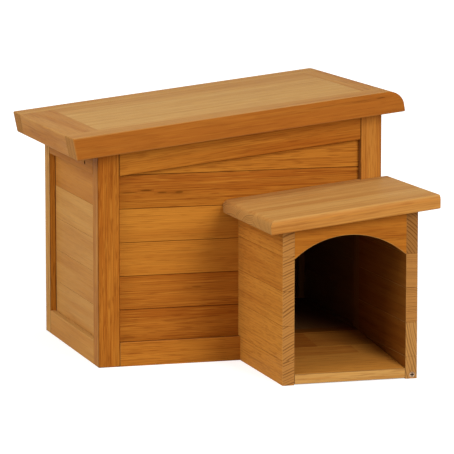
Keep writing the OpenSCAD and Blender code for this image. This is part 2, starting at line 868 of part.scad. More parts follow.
front_left_post();
front_right_post();
rear_left_post();
rear_right_post();
front_bottom_rail();
rear_bottom_rail();
left_bottom_rail();
right_bottom_rail();
front_top_rail();
rear_top_rail();
left_top_rail();
right_top_rail();
for (i = [1 : high_boards]) front_board(i);
for (i = [1 : low_boards]) left_board(i);
for (i = [1 : high_boards]) right_board(i);
for (i = [1 : high_boards]) rear_board(i);
floor_boards();
floor_bearers();
door_jamb();
lid_front_rail();
lid_rear_rail();
lid_left_cleat();
lid_right_cleat();
for (i = [1 : lid_boards]) lid_board(i);
hinge_wall_leaves();
hinge_lid_leaves();
hinge_pins();
hinge_wall_screws();
hinge_lid_screws();
porch_left_wall();
porch_right_wall();
porch_lintel();
porch_ramp();
ramp_bearer();
porch_roof();
porch_screws();
porch_end_screw();
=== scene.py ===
"""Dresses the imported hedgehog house: eased timber with its own grain, zinc hardware, studio and camera."""

import json
import math
import random

import bmesh
import bpy
from mathutils import Matrix, Vector


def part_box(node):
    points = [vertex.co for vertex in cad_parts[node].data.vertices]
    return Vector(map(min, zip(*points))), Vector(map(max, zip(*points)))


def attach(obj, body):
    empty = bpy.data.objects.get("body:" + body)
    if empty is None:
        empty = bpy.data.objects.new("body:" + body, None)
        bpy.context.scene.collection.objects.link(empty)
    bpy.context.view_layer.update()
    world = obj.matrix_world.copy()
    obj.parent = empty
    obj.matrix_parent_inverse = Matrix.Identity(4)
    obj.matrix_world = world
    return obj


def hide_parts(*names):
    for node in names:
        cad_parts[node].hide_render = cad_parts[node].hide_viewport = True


bl_info = {
    "name": "Hedgehog House",
    "version": (1, 0, 0),
    "blender": (4, 5, 0),
    "location": "View3D > Sidebar > Hedgehog House",
    "description": "Timber, hardware and studio for the packed hedgehog house",
    "category": "Object",
}

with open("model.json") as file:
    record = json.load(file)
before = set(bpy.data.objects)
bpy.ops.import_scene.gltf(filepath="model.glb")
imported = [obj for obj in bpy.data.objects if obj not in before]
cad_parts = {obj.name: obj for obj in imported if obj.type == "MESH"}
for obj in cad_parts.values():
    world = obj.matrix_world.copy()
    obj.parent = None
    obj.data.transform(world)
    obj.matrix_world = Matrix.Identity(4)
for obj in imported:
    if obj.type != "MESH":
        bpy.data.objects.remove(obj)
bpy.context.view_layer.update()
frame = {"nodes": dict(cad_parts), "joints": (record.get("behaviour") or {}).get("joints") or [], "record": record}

ACROSS = Vector((1.0, 0.0, 0.0))
DEEP = Vector((0.0, 1.0, 0.0))
UPRIGHT = Vector((0.0, 0.0, 1.0))
# The lid's hinge pin runs down the fall of the roof, so its axis gives the slope
FALL = -Vector(frame["joints"][0]["axis"]).normalized()
BODY_OF = {n: b for b, nodes in frame["record"]["behaviour"]["bodies"].items() for n in nodes}
SLOT_OF = {s["node"]: s["material_slot"] for s in frame["record"]["subparts"]}
OUTWARD = {"front": -DEEP, "rear": DEEP, "left": -ACROSS, "right": ACROSS}
LID_NODES = sorted(n for n in frame["nodes"] if n.startswith("lid_"))
GRAIN_MARKS = ("Rings", "Fade", "Fibre", "Bands", "Streaks", "Glints", "Pores")
# Of the marks on each piece, the second is painted sheen and light, and the last is painted shade on inner faces,
# recesses and holes
PIECE_MARKS = ("Tone", "Bleach", "End", "Arris", "Grime")
# Contrast of the grain in each timber finish
CONTRAST = {
    "Oiled frame timber": 0.65,
    "Oiled left post timber": 0.8,
    "Oiled right post timber": 0.45,
    "Oiled side timber": 0.16,
    "Oiled wall boards": 0.75,
    "Oiled calm boards": 0.42,
    "Oiled lid timber": 0.35,
    "Oiled lintel": 0.5,
    "Oiled fast grown timber": 0.5,
    "Oiled ramp timber": 0.5,
    "Plain sawn timber": 0.4,
}
# How far the annual rings stray from round
RING_WANDER = 0.009
# Corners closer than this are one corner, and a triangle lower than this is a sliver
MERGE_DISTANCE = 1e-5
SLIVER_HEIGHT = 2e-6
SLIVER_PASSES = 4
# Faces closer in angle than the first are one face, edges sharper than the second are eased, edges that turn
# inwards by more than the third lie in a recess, and edges sharper than the fourth shade sharp
FLAT_ANGLE = math.radians(0.05)
EASED_ANGLE = math.radians(35)
INWARD_ANGLE = 0.5
SHARP_ANGLE = math.radians(20)
# Edges shorter than this lie on tenons and board ends, hidden in the joints
SHORT_EDGE = 0.012
# Edges chosen one by one, and those of the hardware, are eased where they are longer than this many easings
CHOSEN_EASINGS = 2.5
HARDWARE_EASINGS = 3.0
# Share of a face's normal along a direction from which it leans, looks or squarely faces that way
LEANS = 0.3
LOOKS = 0.5
FACES = 0.9
# Where a board lies in its log: distance of the pith, place along the trunk, turn of the rings and lean of
# the grain in radians, and the spread of the boards' tones
PITH_DISTANCE = (0.05, 0.13)
TRUNK_LENGTH = 40.0
RING_TURN = 0.25
GRAIN_LEAN = 0.014
TONE_SPREAD = 0.2
# Painted shade on the inner faces, and how far behind an outer face they begin
INNER_SHADE = 0.6
INNER_DEPTH = 0.012


def length_setting(name, description, default, low, high):
    """A length that the user can change."""
    return bpy.props.FloatProperty(
        name=name,
        description=description,
        default=default,
        min=low,
        max=high,
        precision=5,
        subtype="DISTANCE",
        unit="LENGTH",
    )


def colour_setting(name, description, default):
    """A colour that the user can change."""
    return bpy.props.FloatVectorProperty(
        name=name, description=description, default=default, size=3, min=0.0, max=1.0, subtype="COLOR"
    )


def power_setting(name, description, default):
    """A lamp's power that the user can change."""
    return bpy.props.FloatProperty(
        name=name, description=description, default=default, min=0.0, max=500.0, subtype="POWER", unit="POWER"
    )


def point_setting(name, description, default):
    """A point that the user can change."""
    return bpy.props.FloatVectorProperty(
        name=name, description=description, default=default, size=3, subtype="TRANSLATION", unit="LENGTH"
    )


class HedgehogTimber(bpy.types.PropertyGroup):
    """Sizes and colours of the timber"""

    frame_arris: length_setting(
        "Frame easing", "Width of the easing along the edges of posts and rails", 0.0009, 0.0002, 0.003
    )
    board_arris: length_setting(
        "Board easing", "Width of the easing along the edges of the wall boards", 0.0005, 0.0002, 0.0015
    )
    tight_arris: length_setting(
        "Tight easing", "Width of the easing along joints that barely show", 0.0003, 0.0001, 0.001
    )
    close_arris: length_setting(
        "Close easing", "Width of the easing along the close seams of the side walls", 0.0001, 0.00005, 0.001
    )
    roof_arris: length_setting(
        "Roof easing", "Width of the easing along the edges of lid and porch roof", 0.0017, 0.0002, 0.003
    )
    ring_pitch: length_setting("Ring pitch", "Distance between two annual rings", 0.0025, 0.001, 0.01)
    porch_ring_pitch: length_setting(
        "Porch ring pitch", "Distance between two annual rings of the porch walls", 0.0048, 0.001, 0.01
    )
    oiled_pale: colour_setting("Oiled pale", "Early wood of the oiled timber", (0.54, 0.206, 0.024))
    oiled_deep: colour_setting("Oiled deep", "Deep bands of the oiled timber", (0.37, 0.107, 0.01))
    oiled_late: colour_setting(
        "Oiled late", "Late wood lines and resin streaks of the oiled timber", (0.2, 0.044, 0.004)
    )
    # The seam colour also serves as the painted shade of inner faces, recesses and holes, and of the posts' eased
    # corners
    seam: colour_setting("Seams", "Dark oil and dirt along joints and in cracks", (0.075, 0.017, 0.001))
    # This pale colour is painted sheen and light on faces that look up and to the sides, and the painted highlight
    # on pale eased edges
    bleached: colour_setting("Bleached", "Oiled timber where the sun has paled it", (0.61, 0.367, 0.122))
    end_pale: colour_setting("End grain pale", "Early wood on sawn ends", (0.44, 0.19, 0.045))
    end_late: colour_setting("End grain late", "Late wood rings on sawn ends", (0.11, 0.03, 0.004))
    bare_pale: colour_setting("Bare pale", "Early wood of the plain sawn timber inside", (0.5, 0.27, 0.105))
    bare_deep: colour_setting("Bare deep", "Deep bands of the plain sawn timber inside", (0.38, 0.18, 0.06))


class HedgehogHardware(bpy.types.PropertyGroup):
    """Finish of the hinges and screws"""

    edge: length_setting("Edge break", "Width of the hardware's broken edges", 0.00016, 0.00005, 0.0004)
    zinc: colour_setting("Zinc", "Clean yellow zinc plating", (0.44, 0.29, 0.18))
    tarnish: colour_setting("Tarnish", "Dull patches in the plating", (0.2, 0.115, 0.065))
    # The recess colour is painted shade in the screws' cross recesses
    recess: colour_setting("Recess", "Dirt in the cross recess of the screws", (0.012, 0.006, 0.003))


class HedgehogStage(bpy.types.PropertyGroup):
    """Studio around the house"""

    sky: bpy.props.FloatProperty(
        name="Sky",
        description="Strength of the even light from all round",
        default=0.37,
        min=0.0,
        max=2.0,
    )
    front_light: power_setting("Front light", "Power of the large soft light at the front right", 53.0)
    side_light: power_setting("Side light", "Power of the large soft light on the left", 47.5)
    top_light: power_setting("Top light", "Power of the large soft light overhead", 11.0)
    lens: bpy.props.FloatProperty(
        name="Lens",
        description="Focal length on a 36 mm sensor, in millimetres",
        default=252.25,
        min=20.0,
        max=500.0,
    )
    camera: point_setting("Camera", "Place of the camera", (-1.23544, -4.12915, 0.8058))
    aim: point_setting("Aim", "Point that the camera looks at", (-0.0128, -0.05875, 0.1839))


def add_node(tree, kind, links=(), **values):
    """Adds a shader node; links maps its inputs to sockets or plain values, values set its own properties."""
    node = tree.nodes.new(kind)
    for name, value in values.items():
        setattr(node, name, value)
    for name, value in dict(links).items():
        if isinstance(value, bpy.types.NodeSocket):
            tree.links.new(value, node.inputs[name])
        else:
            node.inputs[name].default_value = value
    return node


def number(tree, operation, first, second=0.0, third=0.0):
    """Output of a Math node."""
    return add_node(tree, "ShaderNodeMath", {0: first, 1: second, 2: third}, operation=operation).outputs[0]


def times(tree, first, second):
    """The product of two values."""
    return number(tree, "MULTIPLY", first, second)


def noise(tree, vector, along, across, detail=2.0):
    """Noise from 0 to 1, with its fineness along the vector's X axis and across it."""
    links = {0: vector, 1: (along, across, across)}
    scaled = add_node(tree, "ShaderNodeVectorMath", links, operation="MULTIPLY").outputs[0]
    links = {"Vector": scaled, "Scale": 1.0, "Detail": detail}
    return add_node(tree, "ShaderNodeTexNoise", links).outputs["Fac"]


def eased(tree, value, low, high, out_low=0.0, out_high=1.0):
    """The value eased from one range to another."""
    links = {"Value": value, "From Min": low, "From Max": high, "To Min": out_low, "To Max": out_high}
    node = add_node(tree, "ShaderNodeMapRange", links, interpolation_type="SMOOTHSTEP")
    return node.outputs["Result"]


def blended(tree, factor, first, second, blend="MIX"):
    """Two colours mixed by a factor."""
    node = add_node(tree, "ShaderNodeMix", data_type="RGBA", blend_type=blend)
    for socket, value in ((node.inputs[0], factor), (node.inputs[6], first), (node.inputs[7], second)):
        if isinstance(value, bpy.types.NodeSocket):
            tree.links.new(value, socket)
        else:
            socket.default_value = value
    return node.outputs[2]


def new_group(name, inputs, outputs):
    """An empty node group with its sockets, and its two end nodes."""
    tree = bpy.data.node_groups.new(name, "ShaderNodeTree")
    for label, kind in inputs:
        tree.interface.new_socket(label, in_out="INPUT", socket_type=kind)
    for label, kind in outputs:
        tree.interface.new_socket(label, in_out="OUTPUT", socket_type=kind)
    return tree, tree.nodes.new("NodeGroupInput"), tree.nodes.new("NodeGroupOutput")


def close_group(tree, end, results):
    """The group with its results joined to its end node."""
    for label, socket in results.items():
        tree.links.new(socket, end.inputs[label])
    return tree


def grain_group():
    """Annual rings, fibres, broad bands and resin streaks of a log whose pith is the vector's X axis."""
    tree, start, end = new_group(
        "Log grain",
        [("Vector", "NodeSocketVector"), ("Pitch", "NodeSocketFloat"), ("Wander", "NodeSocketFloat")],
        [(label, "NodeSocketFloat") for label in GRAIN_MARKS],
    )
    vector = start.outputs["Vector"]
    parts = add_node(tree, "ShaderNodeSeparateXYZ", {0: vector})
    flat = add_node(tree, "ShaderNodeCombineXYZ", {1: parts.outputs[1], 2: parts.outputs[2]})
    radius = add_node(tree, "ShaderNodeVectorMath", {0: flat.outputs[0]}, operation="LENGTH").outputs["Value"]
    slow = number(tree, "SUBTRACT", noise(tree, vector, 2.2, 11.0), 0.5)
    fine = number(tree, "SUBTRACT", noise(tree, vector, 9.0, 70.0, 1.0), 0.5)
    wander = times(tree, slow, start.outputs["Wander"])
    wander = number(tree, "MULTIPLY_ADD", fine, 0.0012, wander)
    phase = number(tree, "DIVIDE", number(tree, "ADD", radius, wander), start.outputs["Pitch"])
    links = {"W": phase, "Scale": 0.37, "Detail": 1.0}
    years = add_node(tree, "ShaderNodeTexNoise", links, noise_dimensions="1D")
    phase = number(tree, "MULTIPLY_ADD", years.outputs["Fac"], 0.9, phase)
    within = number(tree, "FRACT", phase)
    whole = number(tree, "FLOOR", phase)
    year = add_node(tree, "ShaderNodeTexWhiteNoise", {"W": whole}, noise_dimensions="1D")
    strength = number(tree, "MULTIPLY_ADD", year.outputs["Value"], 0.75, 0.2)
    late = times(tree, eased(tree, within, 0.38, 0.86), eased(tree, within, 0.9, 1.0, 1.0, 0.0))
    rings = times(tree, late, strength)
    fade = noise(tree, vector, 9.0, 130.0, 1.0)
    fibre = noise(tree, vector, 16.0, 900.0, 2.0)
    broad = noise(tree, vector, 1.3, 24.0, 3.0)
    narrow = noise(tree, vector, 4.0, 95.0, 3.0)
    bands = times(tree, number(tree, "ADD", broad, narrow), 0.5)
    streaks = noise(tree, vector, 6.0, 300.0, 2.0)
    glints = noise(tree, vector, 15.0, 420.0, 1.0)
    pores = noise(tree, vector, 34.0, 620.0, 1.0)
    return close_group(
        tree,
        end,
        {
            "Rings": rings,
            "Fade": eased(tree, fade, 0.36, 0.62, 0.25, 1.0),
            "Fibre": fibre,
            "Bands": bands,
            "Streaks": eased(tree, streaks, 0.56, 0.7),
            "Glints": eased(tree, glints, 0.53, 0.7),
            "Pores": eased(tree, pores, 0.53, 0.68),
        },
    )


def timber_group():
    """Colour, roughness and relief of planed timber from its grain and from the marks on each piece."""
    numbers = GRAIN_MARKS + PIECE_MARKS + ("Crack", "Contrast")
    colours = ("Pale", "Deep", "Late", "Seam", "Bleached", "End pale", "End late")
    tree, start, end = new_group(
        "Planed timber",
        [(label, "NodeSocketFloat") for label in numbers] + [(label, "NodeSocketColor") for label in colours],
        [("Color", "NodeSocketColor"), ("Roughness", "NodeSocketFloat"), ("Height", "NodeSocketFloat")],
    )
    given = start.outputs
    depth = number(tree, "MULTIPLY_ADD", given["Bands"], 2.4, -0.75)
    depth = number(tree, "ADD", depth, given["Tone"])
    depth = add_node(tree, "ShaderNodeClamp", {"Value": depth}).outputs[0]
    face = blended(tree, depth, given["Pale"], given["Deep"])
    pale = number(tree, "MULTIPLY_ADD", depth, -0.8, 1.3)
    # Painted sheen and light: the paleness mark turns faces towards the pale colour
    face = blended(tree, times(tree, given["Bleach"], pale), face, given["Bleached"])
    lines = times(tree, given["Rings"], given["Fade"])
    lines = times(tree, lines, given["Contrast"])
    face = blended(tree, lines, face, given["Late"])
    streaks = times(tree, given["Streaks"], given["Contrast"])
    face = blended(tree, times(tree, streaks, 0.55), face, given["Late"])
    glints = times(tree, given["Glints"], given["Contrast"])
    face = blended(tree, times(tree, glints, 0.65), face, given["Pale"])
    pores = times(tree, given["Pores"], given["Contrast"])
    face = blended(tree, times(tree, pores, 0.6), face, given["Late"])
    rings = eased(tree, given["Rings"], 0.08, 0.5, 0.0, 0.64)
    sawn = blended(tree, rings, given["End pale"], given["End late"])
    # Painted sheen also pales the sawn ends
    sawn = blended(tree, times(tree, given["Bleach"], 0.5), sawn, given["Bleached"])
    both = blended(tree, eased(tree, given["End"], 0.55, 0.9), face, sawn)
    speck = number(tree, "MULTIPLY_ADD", given["Fibre"], 0.5, 0.75)
    grey = add_node(tree, "ShaderNodeCombineColor", {0: speck, 1: speck, 2: speck}).outputs[0]
    both = blended(tree, 0.55, both, grey, "MULTIPLY")
    # Painted highlight: eased edges with a positive arris turn pale; dark joints, cracks and painted shade on the
    # posts' corners take the seam colour
    both = blended(tree, number(tree, "MAXIMUM", given["Arris"], 0.0), both, given["Bleached"])
    darkening = number(tree, "MAXIMUM", times(tree, given["Arris"], -1.0), given["Crack"])
    both = blended(tree, darkening, both, given["Seam"])
    # Painted shade: inner faces, recesses and holes darken towards the seam colour
    both = blended(tree, given["Grime"], both, given["Seam"])
    rough = number(tree, "MULTIPLY_ADD", given["Fibre"], 0.16, 0.5)
    rough = number(tree, "MULTIPLY_ADD", given["Rings"], -0.07, rough)
    rough = number(tree, "MULTIPLY_ADD", given["End"], 0.12, rough)
    height = number(tree, "MULTIPLY_ADD", given["Rings"], 0.6, given["Fibre"])
    height = number(tree, "MULTIPLY_ADD", given["Pores"], -0.8, height)
    return close_group(tree, end, {"Color": both, "Roughness": rough, "Height": height})


def crack_group():
    """Darkness of a lens-shaped crack, from the place along and across it and its own darkness."""
    tree, start, end = new_group(
        "Lens crack",
        [("Vector", "NodeSocketVector"), ("Fibre", "NodeSocketFloat")],
        [("Crack", "NodeSocketFloat")],
    )
    parts = add_node(tree, "ShaderNodeSeparateXYZ", {0: start.outputs["Vector"]}).outputs
    ragged = number(tree, "MULTIPLY_ADD", start.outputs["Fibre"], 1.6, 0.2)
    across = times(tree, parts[1], ragged)
    along = times(tree, parts[0], parts[0])
    reach = number(tree, "MULTIPLY_ADD", across, across, along)
    stain = eased(tree, reach, 0.3, 9.0, 0.25, 0.0)
    inside = number(tree, "MAXIMUM", eased(tree, reach, 0.3, 1.0, 1.0, 0.0), stain)
    return close_group(tree, end, {"Crack": times(tree, inside, parts[2])})


def named(tree, name):
    """The value that a piece's mesh carries under a name."""
    return add_node(tree, "ShaderNodeAttribute", attribute_name=name)


def timber_material(name, pale, deep, late, pitch):
    """A planed timber finish, built from the timber groups."""
    settings = bpy.context.scene.hedgehog_timber
    material = bpy.data.materials.new(name)
    material.use_nodes = True
    tree = material.node_tree
    shader = tree.nodes["Principled BSDF"]
    grain = add_node(tree, "ShaderNodeGroup", node_tree=shared_group("Log grain", grain_group))
    tree.links.new(named(tree, "timber").outputs["Vector"], grain.inputs["Vector"])
    grain.inputs["Pitch"].default_value = pitch
    grain.inputs["Wander"].default_value = RING_WANDER
    finish = add_node(tree, "ShaderNodeGroup", node_tree=shared_group("Planed timber", timber_group))
    for label in GRAIN_MARKS:
        tree.links.new(grain.outputs[label], finish.inputs[label])
    for label in PIECE_MARKS:
        tree.links.new(named(tree, label.lower()).outputs["Fac"], finish.inputs[label])
    crack = add_node(tree, "ShaderNodeGroup", node_tree=shared_group("Lens crack", crack_group))
    tree.links.new(named(tree, "flaw").outputs["Vector"], crack.inputs["Vector"])
    tree.links.new(grain.outputs["Fibre"], crack.inputs["Fibre"])
    tree.links.new(crack.outputs["Crack"], finish.inputs["Crack"])
    finish.inputs["Contrast"].default_value = CONTRAST[name]
    colours = {
        "Pale": pale,
        "Deep": deep,
        "Late": late,
        "Seam": settings.seam,
        "Bleached": settings.bleached,
        "End pale": settings.end_pale,
        "End late": settings.end_late,
    }
    for label, colour in colours.items():
        finish.inputs[label].default_value = (*colour, 1.0)
    links = {"Strength": 0.3, "Distance": 0.00025, "Height": finish.outputs["Height"]}
    relief = add_node(tree, "ShaderNodeBump", links)
    tree.links.new(finish.outputs["Color"], shader.inputs["Base Color"])
    tree.links.new(finish.outputs["Roughness"], shader.inputs["Roughness"])
    tree.links.new(relief.outputs["Normal"], shader.inputs["Normal"])
    shader.inputs["Specular IOR Level"].default_value = 0.02
    return material


def shared_group(name, maker):
    """A node group, made once."""
    return bpy.data.node_groups.get(name) or maker()


def oiled(name, pitch=None):
    """The oiled finish of the outside, made once for each name."""
    settings = bpy.context.scene.hedgehog_timber
    colours = settings.oiled_pale, settings.oiled_deep, settings.oiled_late
    found = bpy.data.materials.get(name)
    return found or timber_material(name, *colours, pitch or settings.ring_pitch)


def bare():
    """The plain sawn timber of the inside."""
    settings = bpy.context.scene.hedgehog_timber
    colours = settings.bare_pale, settings.bare_deep, settings.oiled_late
    found = bpy.data.materials.get("Plain sawn timber")
    return found or timber_material("Plain sawn timber", *colours, settings.ring_pitch)


def plated():
    """Zinc plating with dull patches, fine scratches and painted shade in the screws' recesses."""
    settings = bpy.context.scene.hedgehog_hardware
    found = bpy.data.materials.get("Zinc plating")
    if found:
        return found
    material = bpy.data.materials.new("Zinc plating")
    material.use_nodes = True
    tree = material.node_tree
    shader = tree.nodes["Principled BSDF"]
    place = add_node(tree, "ShaderNodeTexCoord").outputs["Object"]
    patches = eased(tree, noise(tree, place, 150.0, 150.0, 3.0), 0.36, 0.72)
    scratches = noise(tree, place, 700.0, 5200.0, 2.0)
    colour = blended(tree, patches, (*settings.zinc, 1.0), (*settings.tarnish, 1.0))
    # Painted shade in the screws' cross recesses
    darkening = named(tree, "grime").outputs["Fac"]
    colour = blended(tree, darkening, colour, (*settings.recess, 1.0))
    rough = number(tree, "MULTIPLY_ADD", patches, 0.22, 0.26)
    rough = number(tree, "MULTIPLY_ADD", scratches, 0.12, rough)
    relief = add_node(tree, "ShaderNodeBump", {"Strength": 0.15, "Distance": 0.00005, "Height": scratches})
    tree.links.new(colour, shader.inputs["Base Color"])
    tree.links.new(rough, shader.inputs["Roughness"])
    tree.links.new(relief.outputs["Normal"], shader.inputs["Normal"])
    shader.inputs["Metallic"].default_value = 1.0
    return material


def groups_of_faces(bm):
    """Faces of each loose board, from the lowest board up."""
    left = set(bm.faces)
    found = []
    for first in bm.faces:
        if first not in left:
            continue
        left.discard(first)
        stack, group = [first], []
        while stack:
            face = stack.pop()
            group.append(face)
            for edge in face.edges:
                for near in edge.link_faces:
                    if near in left:
                        left.discard(near)
                        stack.append(near)
        found.append(group)
    return sorted(found, key=lambda group: tuple(round(c, 4) for c in middle(group)[::-1]))


def middle(group):
    """Middle of the box around some faces."""
    corners = [v.co for face in group for v in face.verts]
    return [(min(c[i] for c in corners) + max(c[i] for c in corners)) / 2 for i in range(3)]


def turn_slivers(bm):
    """Turns the long edge of each flat triangle, so that it joins the face beside it."""
    for _ in range(SLIVER_PASSES):
        longest = {f: max(e.calc_length() for e in f.edges) for f in bm.faces}
        flat = [f for f, length in longest.items() if 2.0 * f.calc_area() < SLIVER_HEIGHT * length]
        for face in flat:
            if face.is_valid:
                bmesh.utils.edge_rotate(max(face.edges, key=lambda e: e.calc_length()))
    bm.normal_update()


def eased_copy(node, easing, shortest, chosen=None, labels=()):
    """A merged copy of a node's mesh with its outer or chosen edges eased, the eased faces and the marks."""
    bm = bmesh.new()
    bm.from_mesh(frame["nodes"][node].data)
    marks = {label: bm.faces.layers.float.new(label.lower()) for label in labels}
    bmesh.ops.remove_doubles(bm, verts=bm.verts, dist=MERGE_DISTANCE)
    turn_slivers(bm)
    bmesh.ops.dissolve_limit(bm, angle_limit=FLAT_ANGLE, verts=bm.verts, edges=bm.edges)
    sharp = [
        e
        for e in bm.edges
        if e.is_manifold and e.calc_face_angle_signed() > EASED_ANGLE and e.calc_length() > shortest
    ]
    if chosen:
        sharp = [e for e in sharp if chosen(e)]
    made = bmesh.ops.bevel(
        bm,
        geom=sharp,
        offset=easing,
        offset_type="OFFSET",
        affect="EDGES",
        segments=2,
        profile=0.5,
        material=-1,
    )
    bm.normal_update()
    return bm, made["faces"], marks


def place_piece(bm, node, ending, material):
    """The finished piece, standing for its node."""
    mesh = bpy.data.meshes.new(f"{node}_{ending}")
    for face in bm.faces:
        face.smooth = True
    bm.to_mesh(mesh)
    bm.free()
    mesh.set_sharp_from_angle(angle=SHARP_ANGLE)
    mesh.materials.append(material)
    piece = bpy.data.objects.new(f"{node}_{ending}", mesh)
    bpy.context.scene.collection.objects.link(piece)
    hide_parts(node)
    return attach(piece, BODY_OF[node])


def strip_of(face, axis, places):
    """Number of the strip that a face lies in, between places along an axis."""
    return sum(axis.dot(face.calc_center_median()) > place for place in places)


def mark_on(face, value):
    """A mark on a face, from a number or from a rule."""
    return value(face) if callable(value) else value


def cut_faces(bm, faces, axis, place):
    """Cuts faces where a plane across an axis meets them."""
    verts = dict.fromkeys(v for f in faces for v in f.verts)
    edges = dict.fromkeys(e for f in faces for e in f.edges)
    bmesh.ops.bisect_plane(bm, geom=[*verts, *edges, *faces], plane_co=axis * place, plane_no=axis)


def front_faces(bm):
    """Faces that squarely face the front."""
    return [f for f in bm.faces if f.normal.y < -FACES]


def placed_cracks(node, grain, cracks):
    """Cracks given from the left end and lower edge of a front face, placed along and across the grain."""
    rising = grain.cross(DEEP)
    corners = [v.co for v in frame["nodes"][node].data.vertices]
    left = min(grain.dot(corner) for corner in corners)
    foot = min(rising.dot(corner) for corner in corners)
    return [(left + along, foot + rise, *rest) for along, rise, *rest in cracks]


def mark_cracks(bm, grain, cracks, cells):
    """Writes where each corner of the front faces lies in the crack of its cell."""
    rising = grain.cross(DEEP)
    flaw = bm.loops.layers.float_vector.new("flaw")
    for face in front_faces(bm):
        along, rise, length, height, darkness = cracks[strip_of(face, grain, cells)]
        for loop in face.loops:
            place = loop.vert.co
            loop[flaw] = ((grain.dot(place) - along) / length, (rising.dot(place) - rise) / height, darkness)


def timber_piece(
    node,
    grain,
    material,
    easing,
    tone=0.0,
    bleach=0.0,
    arris=-0.5,
    grime=0.0,
    shows=None,
    piths=(),
    strips=(),
    butts=None,
    tones=None,
    cracks=(),
    chosen=None,
    run=1.0,
):
    """A node's boards with eased edges, each board or glued strip sawn from its own part of a log.

    tone, bleach and grime are the depth of colour, the paleness of painted sheen and light, and the
    darkening of painted shade, and arris is an eased edge's colour, from dark joints and painted shade at -1 to a
    painted highlight at 1: each is a number, or a rule that gives one for a face. shows is the way the main face
    looks, where the rings stand upright, and piths the pith's direction in degrees, its distance and the fineness
    of the rings for each board. strips are the places of glue lines from front to back, butts the places of butt
    joints along each strip, and tones the tone of each strip's lengths. cracks holds, from left to right, the
    place along and across the grain, half length, half height and darkness of cracks in the front. chosen tells
    which edges are eased, and run shortens the marks along the grain.
    """
    shortest = CHOSEN_EASINGS * easing if chosen else SHORT_EDGE
    bm, eased_faces, marks = eased_copy(node, easing, shortest, chosen, PIECE_MARKS)
    for face in eased_faces:
        face[marks["Arris"]] = mark_on(face, arris)
    for place in strips:
        cut_faces(bm, bm.faces[:], DEEP, place)
    butts = butts or {}
    for row, places in butts.items():
        for place in places:
            cut_faces(bm, [f for f in bm.faces if strip_of(f, DEEP, strips) == row], grain, place)
    cells = [(left[0] + right[0]) / 2 for left, right in zip(cracks, cracks[1:])]
    for place in cells:
        cut_faces(bm, front_faces(bm), grain, place)
    spot = bm.loops.layers.float_vector.new("timber")
    if cracks:
        mark_cracks(bm, grain, cracks, cells)
    draw = random.Random(node)
    side = DEEP if abs(grain.x) > FACES else ACROSS
    axes = Matrix((grain, side, grain.cross(side)))
    for count, group in enumerate(groups_of_faces(bm)):
        centre = Vector(middle(group))
        rows = {}
        for face in group:
            row = strip_of(face, DEEP, strips)
            rows.setdefault((row, strip_of(face, grain, butts.get(row, ()))), []).append(face)
        for key in sorted(rows):
            angle = draw.uniform(0.0, 2.0 * math.pi)
            pith = draw.uniform(*PITH_DISTANCE)
            if shows:
                upright = axes @ grain.cross(shows)
                turn = math.pi * (angle > math.pi) + RING_TURN * math.sin(angle)
                angle = math.atan2(upright.z, upright.y) + turn
            fine = 1.0
            if count < len(piths):
                turn, pith, fine = piths[count]
                angle = math.radians(turn)
            trunk = draw.uniform(0.0, TRUNK_LENGTH)
            shift = Vector((trunk, pith * math.cos(angle) * fine, pith * math.sin(angle) * fine))
            lean = Matrix.Rotation(draw.uniform(-GRAIN_LEAN, GRAIN_LEAN), 3, "Z") @ axes
            lean = Matrix.Diagonal((run, fine, fine)) @ lean
            shade = tones[key] if tones else draw.uniform(-TONE_SPREAD, TONE_SPREAD)
            for face in rows[key]:
                face[marks["Tone"]] = shade + mark_on(face, tone)
                face[marks["Bleach"]] = mark_on(face, bleach)
                face[marks["End"]] = abs(face.normal.dot(grain))
                face[marks["Grime"]] = mark_on(face, grime)
                for loop in face.loops:
                    loop[spot] = lean @ (loop.vert.co - centre) + shift
    return place_piece(bm, node, "timber", material)


def metal_piece(node):
    """A node of hinges or screws with broken edges, and painted shade where a screw's edges turn inwards."""
    settings = bpy.context.scene.hedgehog_hardware
    bm, _, marks = eased_copy(node, settings.edge, HARDWARE_EASINGS * settings.edge, labels=("Grime",))
    for face in bm.faces:
        # Painted shade on the faces inside a screw's cross recess
        inward = any(e.calc_face_angle_signed() < -INWARD_ANGLE for e in face.edges)
        face[marks["Grime"]] = float(inward and "screw" in node)
    return place_piece(bm, node, "plated", plated())


def looking(way, value):
    """A mark on the faces that look one way."""
    return lambda face: value if face.normal.dot(way) > LOOKS else 0.0


def shaded_inside(node, sides, recess=0.0):
    """Painted shade on the faces that look to none of the outer sides; recess is the painted shade of faces close
    behind them.
    """
    low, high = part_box(node)
    outer = [(OUTWARD[side], max(OUTWARD[side].dot(low), OUTWARD[side].dot(high))) for side in sides]

    def darkening(face):
        if max(face.normal.dot(way) for way, _ in outer) > LOOKS:
            return 0.0
        centre = face.calc_center_median()
        depth = min(reach - way.dot(centre) for way, reach in outer)
        return recess if depth < INNER_DEPTH else INNER_SHADE

    return darkening


def facing_sheen(up, side=0.0, front=0.0):
    """Painted sheen and light: paleness of the faces that look up, to a side and to the front or rear."""

    def paleness(face):
        return up * max(0.0, face.normal.z) ** 2 + side * face.normal.x ** 2 + front * face.normal.y ** 2

    return paleness


